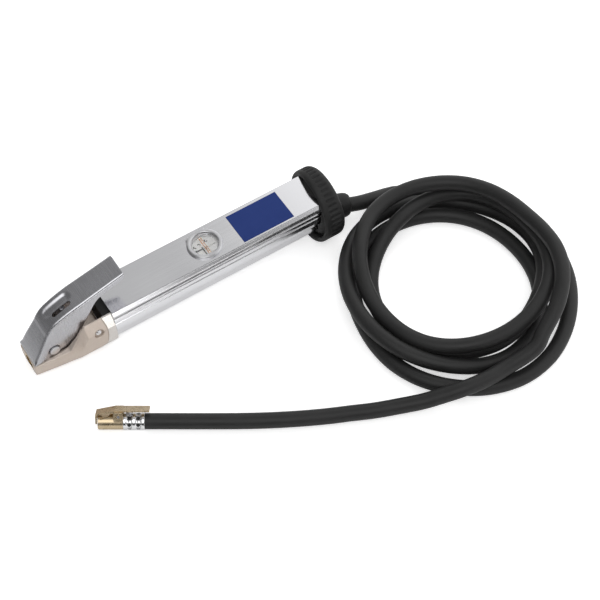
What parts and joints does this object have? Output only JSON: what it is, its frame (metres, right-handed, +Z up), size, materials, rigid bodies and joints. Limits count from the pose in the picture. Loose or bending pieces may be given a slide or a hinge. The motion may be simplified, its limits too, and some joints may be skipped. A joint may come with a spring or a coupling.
{
  "type": "tyre inflator with gauge",
  "caption": "Hand-held tyre inflator: beaded aluminium barrel with a gauge, cast nose with a trigger lever, round rubber guard and a coiled air hose with a clip-on valve connector.",
  "frame": {"origin": "on the ground, under the middle of the inflator's box from the nose's tip to the guard's back", "axes": "+X along the inflator from the nose to the guard, +Y across it away from the coil, +Z up"},
  "size_m": [0.4403, 0.2611, 0.077],
  "materials": {
    "barrel": "brushed anodised",
    "nose_block": "cast, nickel plated",
    "nose_collar": "cast, nickel plated",
    "front_gasket": "moulded",
    "nose_screws": "bright plated",
    "trigger_lever": "pressed, zinc plated",
    "lever_pin": "bright",
    "pin_clip": "spring steel",
    "inlet_bush": "turned",
    "valve_cap": "turned",
    "valve_spring": "spring wire",
    "valve_stem": "turned",
    "valve_seat": "moulded",
    "gauge_tube": "drawn",
    "gauge_piston": "moulded",
    "piston_seal": "moulded",
    "gauge_spring": "spring wire",
    "gauge_plug": "moulded",
    "gauge_scale": "printed face",
    "gauge_lens": "clear, polished",
    "gauge_bezel": "bright",
    "label_plate": "printed film",
    "hand_guard": "moulded",
    "end_plate": "pressed",
    "outlet_fitting": "turned",
    "outlet_boot": "moulded",
    "hose_lead_in": "smooth cover",
    "hose_coil": "smooth cover",
    "hose_lead_out": "smooth cover",
    "ferrule": "crimped, zinc plated",
    "connector_body": "nickel plated",
    "connector_seal": "moulded",
    "core_pin": "turned",
    "connector_clip": "pressed, plated",
    "clip_pin": "drawn",
    "clip_spring": "spring wire"
  },
  "bodies": {
    "inflator": {"barrel": "barrel", "nose_block": "nose_block", "nose_collar": "nose_collar", "front_gasket": "front_gasket", "nose_screws": "nose_screws", "lever_pin": "lever_pin", "pin_clip": "pin_clip", "inlet_bush": "inlet_bush", "valve_cap": "valve_cap", "valve_spring": "valve_spring", "valve_seat": "valve_seat", "gauge_tube": "gauge_tube", "gauge_spring": "gauge_spring", "gauge_plug": "gauge_plug", "gauge_scale": "gauge_scale", "gauge_lens": "gauge_lens", "gauge_bezel": "gauge_bezel", "label_plate": "label_plate", "hand_guard": "hand_guard", "end_plate": "end_plate", "outlet_fitting": "outlet_fitting", "outlet_boot": "outlet_boot", "hose_lead_in": "hose_lead_in", "hose_coil": "hose_coil", "hose_lead_out": "hose_lead_out", "ferrule": "ferrule", "connector_body": "connector_body", "connector_seal": "connector_seal", "core_pin": "core_pin", "clip_pin": "clip_pin", "clip_spring": "clip_spring"},
    "lever": {"trigger_lever": "trigger_lever"},
    "stem": {"valve_stem": "valve_stem"},
    "piston": {"gauge_piston": "gauge_piston", "piston_seal": "piston_seal"},
    "clip": {"connector_clip": "connector_clip"}
  },
  "joints": [
    {"name": "trigger", "type": "hinge", "parent": "inflator", "child": "lever", "pos_m": [-0.12352, 0, 0.02372], "axis": [0, 1, 0], "range_deg": [0, 12], "stiffness_Nm_per_rad": 1.5, "springref_deg": -17.19},
    {"name": "valve_slide", "type": "slide", "parent": "inflator", "child": "stem", "axis": [0.0533, 0, -0.9986], "range_m": [0, 0.00544], "deforming": ["valve_spring"]},
    {"name": "gauge_slide", "type": "slide", "parent": "inflator", "child": "piston", "axis": [0.9986, 0, 0.0533], "range_m": [0, 0.013], "stiffness_N_per_m": 150, "springref_m": -0.01, "deforming": ["gauge_spring"]},
    {"name": "clip_pivot", "type": "hinge", "parent": "inflator", "child": "clip", "pos_m": [-0.10578, -0.08547, 0.01306], "axis": [0.4589, 0.7344, -0.5], "range_deg": [0, 7], "stiffness_Nm_per_rad": 0.05, "springref_deg": -28.65, "deforming": ["clip_spring"]}
  ],
  "couplings": [
    {"joint": "valve_slide", "follows": "trigger", "m_per_rad": 0.025514}
  ]
}
